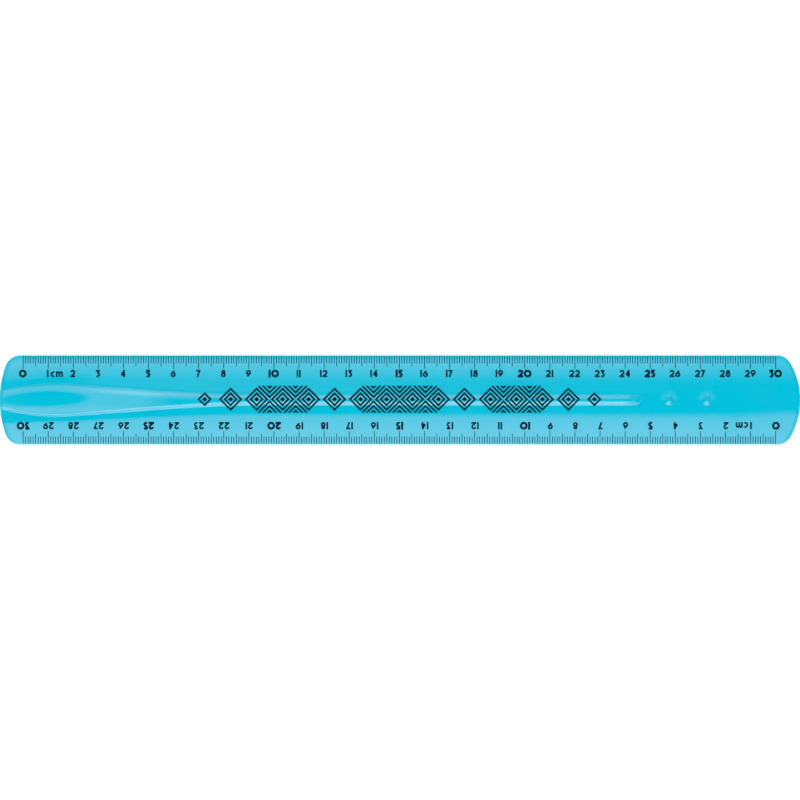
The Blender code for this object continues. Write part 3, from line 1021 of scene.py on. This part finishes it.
def make_plastic(finish):
    """Soft, glossy, translucent plastic that is deeper in colour where it is thick, with painted
    highlights and reflections carried by its paleness.
    """
    material, shader, add = new_material("soft_translucent_plastic")
    # Paleness carries thin-plastic tone and painted highlights, reflections and shade
    pale = add("Attribute", attribute_name="paleness")
    drift = add("MapRange", {"Value": rest_noise(add, 1 / (finish.skin_grain * 14), 2.0),
                             "From Min": 0.3, "From Max": 0.7, "To Min": -0.012, "To Max": 0.012})
    amount = add("Math", {0: pale.outputs["Fac"], 1: drift.outputs["Result"]},
                 operation="ADD", use_clamp=True).outputs["Value"]
    mix = add("Mix", data_type="RGBA")
    set_inputs(mix, {"Factor": amount, "A": (*finish.deep, 1.0), "B": (*finish.pale, 1.0)})
    # Above a share of paleness the painted highlight colour comes in
    over = add("MapRange", {"Value": amount, "From Min": finish.bright_from})
    glow = add("Mix", data_type="RGBA")
    set_inputs(glow, {"Factor": over.outputs["Result"], "A": mix.outputs["Result"],
                      "B": (*finish.bright, 1.0)})
    grain = rest_noise(add, 1 / finish.skin_grain, 3.0)
    gloss = add("MapRange", {"Value": grain, "To Min": finish.roughness - 0.03,
                             "To Max": finish.roughness + 0.03})
    bump = add("Bump", {"Strength": 0.06, "Distance": 0.00005, "Height": grain})
    set_inputs(shader, {"Base Color": glow.outputs["Result"], "Roughness": gloss.outputs["Result"],
                        "Normal": bump.outputs["Normal"], "IOR": 1.48,
                        "Transmission Weight": finish.clearness})
    return material


def make_ink(print_shape):
    """Dark printing ink with a faintly uneven film."""
    material, shader, add = new_material("printing_ink")
    grain = rest_noise(add, 2600.0, 3.0)
    thin = tuple(value * 2.0 for value in print_shape.ink)
    mix = add("Mix", data_type="RGBA")
    set_inputs(mix, {"Factor": grain, "A": (*print_shape.ink, 1.0), "B": (*thin, 1.0)})
    gloss = add("MapRange", {"Value": grain, "To Min": 0.40, "To Max": 0.52})
    set_inputs(shader, {"Base Color": mix.outputs["Result"], "Roughness": gloss.outputs["Result"],
                        "IOR": 1.45, "Specular IOR Level": 0.06})
    return material


def make_floor_paper(studio):
    """Plain pale floor that stays white to the camera and keeps the ruler's shadow."""
    material, shader, add = new_material("pale_floor")
    grey = studio.floor_colour
    set_inputs(shader, {"Base Color": (grey, grey, grey, 1.0), "Roughness": 0.9,
                        "Specular IOR Level": 0.0})
    lift = add("Emission", {"Strength": studio.floor_lift})
    lit = add("AddShader", {0: shader.outputs["BSDF"], 1: lift.outputs["Emission"]})
    white = add("Emission", {"Strength": 1.0})
    path = add("LightPath")
    seen = add("Math", {0: path.outputs["Is Transmission Ray"], 1: path.outputs["Is Glossy Ray"]},
               operation="MAXIMUM")
    mix = add("MixShader", {0: seen.outputs["Value"], 1: lit.outputs["Shader"],
                            2: white.outputs["Emission"]})
    set_inputs(material.node_tree.nodes["Material Output"], {"Surface": mix.outputs["Shader"]})
    return material


def set_daylight(scene, studio):
    """Even light from all round, which the camera sees as plain white."""
    world = bpy.data.worlds.new("daylight")
    world.use_nodes = True
    scene.world = world
    add = node_adder(world.node_tree)
    path = add("LightPath")
    seen = add("Math", {0: path.outputs["Is Camera Ray"], 1: path.outputs["Is Transmission Ray"]},
               operation="MAXIMUM")
    direction = add("TexCoord").outputs["Generated"]
    height = add("SeparateXYZ", {"Vector": direction}).outputs["Z"]
    light = add("MapRange", {"Value": height, "From Min": OVERHEAD_FROM, "From Max": OVERHEAD_FULL,
                             "To Min": studio.daylight, "To Max": studio.overhead})
    strength = add("MapRange", {"Value": seen.outputs["Value"], "To Min": light.outputs["Result"],
                                "To Max": 1.0})
    set_inputs(world.node_tree.nodes["Background"],
               {"Color": (1.0, 1.0, 1.0, 1.0), "Strength": strength.outputs["Result"]})


# Operators


class RULER_OT_mould_blade(bpy.types.Operator):
    """Mould the translucent blade, divide it into centimetres and hide the imported slices"""

    bl_idname = "ruler.mould_blade"
    bl_label = "Mould blade"

    def execute(self, context):
        scene = context.scene
        blade = mould_blade(scene.ruler_blade, scene.ruler_finish)
        store_rest_place(blade)
        blade.data.materials.append(make_plastic(scene.ruler_finish))
        blade.data.shade_smooth()
        for index, part in enumerate(divided_shell(blade)):
            place, left, right = TWIST_HINGES[index]
            part.name = f"blade_cm_{index + 1:02d}"
            part.data.name = part.name
            hang(part, index)
            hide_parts(*BODY_NODES[left], *BODY_NODES[right])
        return {"FINISHED"}


class RULER_OT_print_marks(bpy.types.Operator):
    """Print the millimetre, half centimetre and centimetre marks along both edges"""

    bl_idname = "ruler.print_marks"
    bl_label = "Print marks"

    def execute(self, context):
        size = context.scene.ruler_print
        edge_y = HIGH_CORNER.y
        count = size.centimetres
        rows = ((size.mark_start, size.millimetre_mark, 1),
                (size.millimetre_mark, size.half_mark, 5),
                (size.half_mark, size.whole_mark, 10))
        marks = []
        for start, end, millimetres in rows:
            mark = one_mark(ZERO_MARK_X, edge_y - end, edge_y - start, size.mark_width)
            repeated(mark, 10 * count // millimetres + 1, millimetres * MILLIMETRE)
            marks.append(mark)
        marks += [turned_about(mark) for mark in marks]
        joined("scale_marks", marks)
        return {"FINISHED"}


class RULER_OT_print_numbers(bpy.types.Operator):
    """Print the numbers of both scales, every fifth in bold"""

    bl_idname = "ruler.print_numbers"
    bl_label = "Print numbers"

    def execute(self, context):
        size = context.scene.ruler_print
        styles = {"plain": ("123456789", size.number_height, size.pen_width),
                  "bold": ("01235", size.bold_height, size.bold_pen_width),
                  "unit": ("cm", size.unit_height, size.pen_width)}
        signs = {}
        for style, (letters, height, pen) in styles.items():
            signs[style] = {}
            for sign in letters:
                glyph, width = draw_glyph(sign, height, pen)
                signs[style][sign] = (glyph, width, pen, height)
        row_y = HIGH_CORNER.y - size.number_row
        copies = []
        for number in range(size.centimetres + 1):
            style, gap = ("plain", size.gap) if number % 5 else ("bold", size.bold_gap)
            x = ZERO_MARK_X + number * 10 * MILLIMETRE
            written, right = write(str(number), x, row_y, signs[style], gap)
            copies += written
            if number == 1:
                unit_y = row_y - (size.number_height - size.unit_height) / 2
                width = sum(signs["unit"][sign][1] for sign in "cm") + 2 * size.gap
                unit_x = right - size.gap + size.unit_gap + width / 2
                copies += write("cm", unit_x, unit_y, signs["unit"], size.gap)[0]
        numbers = joined("scale_numbers", copies)
        lower = turned_about(numbers)
        lower.data.transform(Matrix.Translation((0.0, size.lower_shift, 0.0)))
        joined("scale_numbers", [numbers, lower])
        for style in signs.values():
            for glyph, width, pen, height in style.values():
                bpy.data.objects.remove(glyph, do_unlink=True)
        return {"FINISHED"}


class RULER_OT_print_band(bpy.types.Operator):
    """Print a band of nested diamonds along the spine"""

    bl_idname = "ruler.print_band"
    bl_label = "Print band"

    def execute(self, context):
        band = context.scene.ruler_band
        step = band.pitch * math.sqrt(2.0)
        stroke = band.line * math.sqrt(2.0)
        filled = 1 + int((band.cell_length + band.height) / 2 / step)
        rings = {"s": 2, "m": 3, "f": filled}
        cells = []
        for number, kind in enumerate(band.layout):
            x = band.start + band.cell_length * (number + 0.5)
            cell = joined("band_cell", [diamond(x, step * ring + stroke, step * ring)
                                        for ring in range(rings[kind])])
            if kind == "f":
                open_left = band.layout[number - 1] == "f"
                open_right = band.layout[number + 1] == "f"
                trim_cell(cell, x, step * 2 + stroke, open_left, open_right, band)
            cells.append(cell)
        whole = joined("pattern_band", cells)
        step_y = context.scene.ruler_blade.spine_width / BAND_CUTS
        with editing(whole):
            bpy.ops.transform.translate(value=(0.0, band.middle, 0.0))
            for number in range(-BAND_CUTS, BAND_CUTS + 1):
                bpy.ops.mesh.select_all(action="SELECT")
                bpy.ops.mesh.bisect(plane_co=(0.0, number * step_y, 0.0),
                                    plane_no=(0.0, 1.0, 0.0))
        return {"FINISHED"}


class RULER_OT_lay_print(bpy.types.Operator):
    """Lay marks, numbers and band on the blade and divide them into centimetres"""

    bl_idname = "ruler.lay_print"
    bl_label = "Lay print"

    def execute(self, context):
        scene = context.scene
        names = ("scale_marks", "scale_numbers", "pattern_band")
        whole = joined("print", [bpy.data.objects[name] for name in names])
        whole.data.materials.clear()
        whole.data.materials.append(make_ink(scene.ruler_print))
        parts = divided_print(whole)
        for index, part in enumerate(parts):
            laid_on_blade(part, scene.ruler_blade, scene.ruler_print)
            store_rest_place(part)
            part.name = f"print_cm_{index + 1:02d}"
            part.data.name = part.name
            hang(part, index)
        return {"FINISHED"}


class RULER_OT_set_stage(bpy.types.Operator):
    """Set the pale floor, the two soft lamps, the even light and the camera overhead"""

    bl_idname = "ruler.set_stage"
    bl_label = "Set stage"

    def execute(self, context):
        scene = context.scene
        studio = scene.ruler_studio
        clear_selection()
        bpy.ops.mesh.primitive_plane_add(size=studio.floor_size,
                                         location=(0.0, 0.0, -studio.floor_drop))
        floor = bpy.context.active_object
        floor.name = "floor"
        floor.data.materials.append(make_floor_paper(studio))
        out = studio.lamp_distance * math.cos(studio.lamp_elevation)
        up = studio.lamp_distance * math.sin(studio.lamp_elevation)
        lamps = (("near_lamp", -1.0, studio.near_lamp), ("far_lamp", 1.0, studio.far_lamp))
        for name, side, power in lamps:
            data = bpy.data.lights.new(name, "AREA")
            data.shape = "RECTANGLE"
            data.size = studio.lamp_width
            data.size_y = studio.lamp_height
            data.energy = power
            lamp = bpy.data.objects.new(name, data)
            lamp.location = (0.0, side * out, up)
            lamp.rotation_euler = (-side * (math.pi / 2 - studio.lamp_elevation), 0.0, 0.0)
            lamp.visible_glossy = side < 0.0
            context.collection.objects.link(lamp)
        set_daylight(scene, studio)
        lens = bpy.data.cameras.new("overhead_camera")
        lens.lens = studio.lens
        lens.sensor_width = 36.0
        lens.clip_start = 0.01
        lens.clip_end = 50.0
        camera = bpy.data.objects.new("overhead_camera", lens)
        camera.location = (0.0, 0.0, studio.view_width * lens.lens / lens.sensor_width)
        context.collection.objects.link(camera)
        scene.camera = camera
        scene.view_settings.view_transform = "Standard"
        return {"FINISHED"}


class RULER_PT_panel(bpy.types.Panel):
    """Sidebar panel of the ruler's operators and settings."""

    bl_idname = "RULER_PT_panel"
    bl_label = "Flexible ruler"
    bl_space_type = "VIEW_3D"
    bl_region_type = "UI"
    bl_category = "Ruler"

    def draw(self, context):
        for operator in OPERATORS:
            self.layout.operator(operator.bl_idname)
        for name in SETTINGS:
            box = self.layout.box()
            group = getattr(context.scene, name)
            for setting in group.bl_rna.properties:
                if setting.identifier not in ("rna_type", "name"):
                    box.prop(group, setting.identifier)


SETTINGS = {
    "ruler_blade": RulerBladeShape,
    "ruler_finish": RulerPlasticFinish,
    "ruler_print": RulerPrintShape,
    "ruler_band": RulerBandShape,
    "ruler_studio": RulerStudio,
}
OPERATORS = (
    RULER_OT_mould_blade,
    RULER_OT_print_marks,
    RULER_OT_print_numbers,
    RULER_OT_print_band,
    RULER_OT_lay_print,
    RULER_OT_set_stage,
)


def register():
    """Register the settings, operators and panel."""
    for item in (*SETTINGS.values(), *OPERATORS, RULER_PT_panel):
        bpy.utils.register_class(item)
    for name, group in SETTINGS.items():
        setattr(bpy.types.Scene, name, PointerProperty(type=group))


def unregister():
    """Take the settings, operators and panel out again."""
    for name in SETTINGS:
        delattr(bpy.types.Scene, name)
    for item in (*SETTINGS.values(), *OPERATORS, RULER_PT_panel):
        bpy.utils.unregister_class(item)


def main():
    """Make the ruler and its stage."""
    register()
    for operator in OPERATORS:
        area, name = operator.bl_idname.split(".")
        getattr(getattr(bpy.ops, area), name)()


if __name__ == "__main__":
    main()
